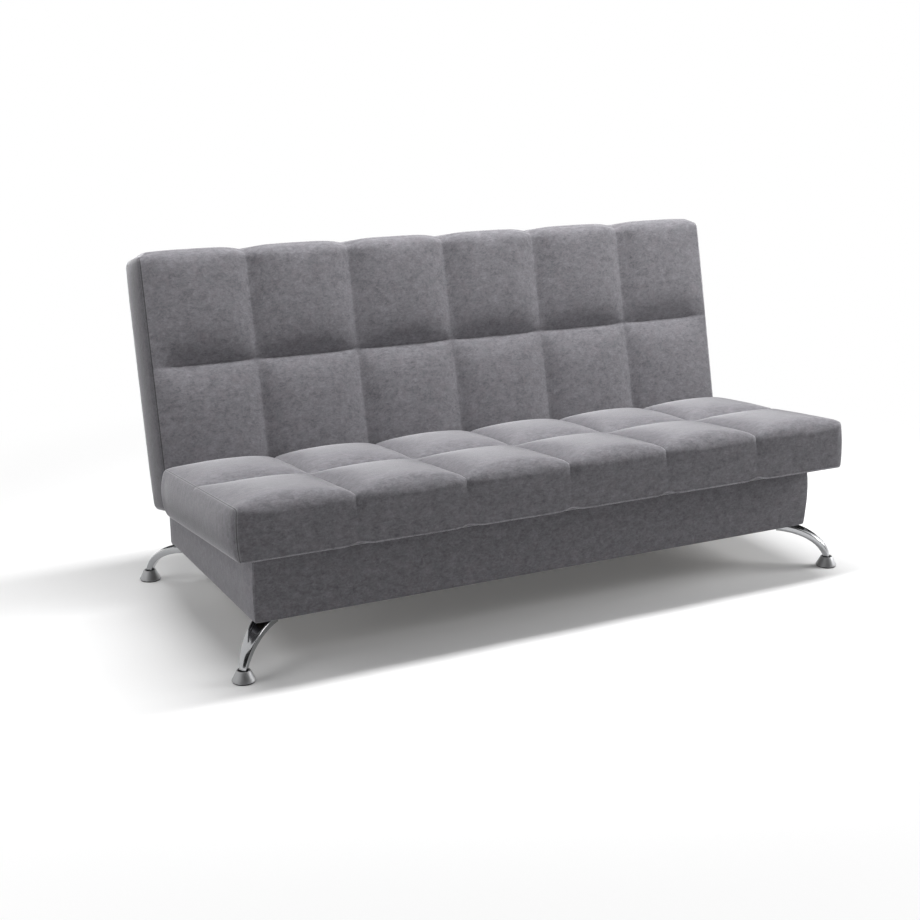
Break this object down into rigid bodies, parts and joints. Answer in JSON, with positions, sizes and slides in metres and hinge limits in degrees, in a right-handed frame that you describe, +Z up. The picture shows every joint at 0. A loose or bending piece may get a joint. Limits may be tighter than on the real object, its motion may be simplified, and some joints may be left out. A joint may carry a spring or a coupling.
{
  "type": "click clack sofa bed",
  "caption": "Armless upholstered sofa with tufted seat and back that fold down level into a bed on a ratchet linkage, over a lift-up storage box on arched chromed corner legs.",
  "frame": {"origin": "centre of the whole sofa's outline, on the floor under its foot pads", "axes": "+X to the right as seen from the front, along the length; +Y from the front to the back; +Z up"},
  "size_m": [1.952, 0.9208, 0.9868],
  "materials": {
    "upholstery_fabric": "mid grey velour, finely mottled",
    "lining_fabric": "plain dark non-woven lining",
    "board": "raw fibreboard and pine, matt",
    "chrome": "polished chrome plate",
    "rubber": "black, matt",
    "dark_steel": "dark grey powder coat",
    "zinc_plated_steel": "bright zinc plate",
    "beech": "planed beech, satin"
  },
  "bodies": {
    "box": {"box_front_panel": "upholstery_fabric", "box_side_panel_right": "upholstery_fabric", "box_side_panel_left": "upholstery_fabric", "box_rear_panel": "upholstery_fabric", "box_floor": "board", "corner_block_front_right": "board", "corner_block_front_left": "board", "corner_block_rear_right": "board", "corner_block_rear_left": "board", "leg_front_right": "chrome", "leg_front_left": "chrome", "leg_rear_right": "chrome", "leg_rear_left": "chrome", "foot_cone_front_right": "chrome", "foot_cone_front_left": "chrome", "foot_cone_rear_right": "chrome", "foot_cone_rear_left": "chrome", "foot_pad_front_right": "rubber", "foot_pad_front_left": "rubber", "foot_pad_rear_right": "rubber", "foot_pad_rear_left": "rubber", "lift_bracket_right": "dark_steel", "lift_bracket_left": "dark_steel", "bar_buffer_right": "rubber", "bar_buffer_left": "rubber"},
    "carrier": {"lift_bar_right": "dark_steel", "lift_bar_left": "dark_steel", "cross_tube": "dark_steel"},
    "front_links": {"front_link_right": "dark_steel", "front_link_left": "dark_steel"},
    "rear_links": {"rear_link_right": "dark_steel", "rear_link_left": "dark_steel"},
    "seat": {"seat_cushion": "upholstery_fabric", "seat_frame": "dark_steel", "seat_bracket_right": "zinc_plated_steel", "seat_bracket_left": "zinc_plated_steel", "seat_under_cover": "lining_fabric", "seat_slat_1": "beech", "seat_slat_2": "beech", "seat_slat_3": "beech", "seat_slat_4": "beech", "seat_slat_5": "beech", "seat_slat_6": "beech", "seat_slat_7": "beech"},
    "back": {"back_cushion": "upholstery_fabric", "back_frame": "dark_steel", "back_bracket_right": "zinc_plated_steel", "back_bracket_left": "zinc_plated_steel", "pawl_right": "dark_steel", "pawl_left": "dark_steel", "pawl_spring_right": "zinc_plated_steel", "pawl_spring_left": "zinc_plated_steel", "back_rear_cover": "upholstery_fabric", "back_slat_1": "beech", "back_slat_2": "beech", "back_slat_3": "beech", "back_slat_4": "beech", "back_slat_5": "beech", "back_slat_6": "beech", "back_slat_7": "beech"}
  },
  "joints": [
    {"name": "storage_lift", "type": "hinge", "parent": "box", "child": "carrier", "pos_m": [0, 0.32719, 0.214], "axis": [-1, 0, 0], "range_deg": [0, 35]},
    {"name": "bed_unfold", "type": "hinge", "parent": "carrier", "child": "front_links", "pos_m": [0, -0.22613, 0.23214], "axis": [1, 0, 0], "range_deg": [0, 126.75]},
    {"name": "seat_tilt", "type": "hinge", "parent": "front_links", "child": "seat", "pos_m": [0, -0.1174, 0.26958], "axis": [-1, 0, 0], "range_deg": [0, 122.05]},
    {"name": "rear_link_swing", "type": "hinge", "parent": "carrier", "child": "rear_links", "pos_m": [0, -0.00167, 0.22121], "axis": [1, 0, 0], "range_deg": [0, 125.35]},
    {"name": "back_fold", "type": "hinge", "parent": "seat", "child": "back", "pos_m": [0, 0.24748, 0.32355], "axis": [-1, 0, 0], "range_deg": [0, 81.7]}
  ],
  "couplings": [
    {"joint": "seat_tilt", "follows": "bed_unfold", "ratio": 0.96252},
    {"joint": "rear_link_swing", "follows": "bed_unfold", "ratio": 0.98863},
    {"joint": "back_fold", "follows": "bed_unfold", "ratio": 0.64438}
  ]
}
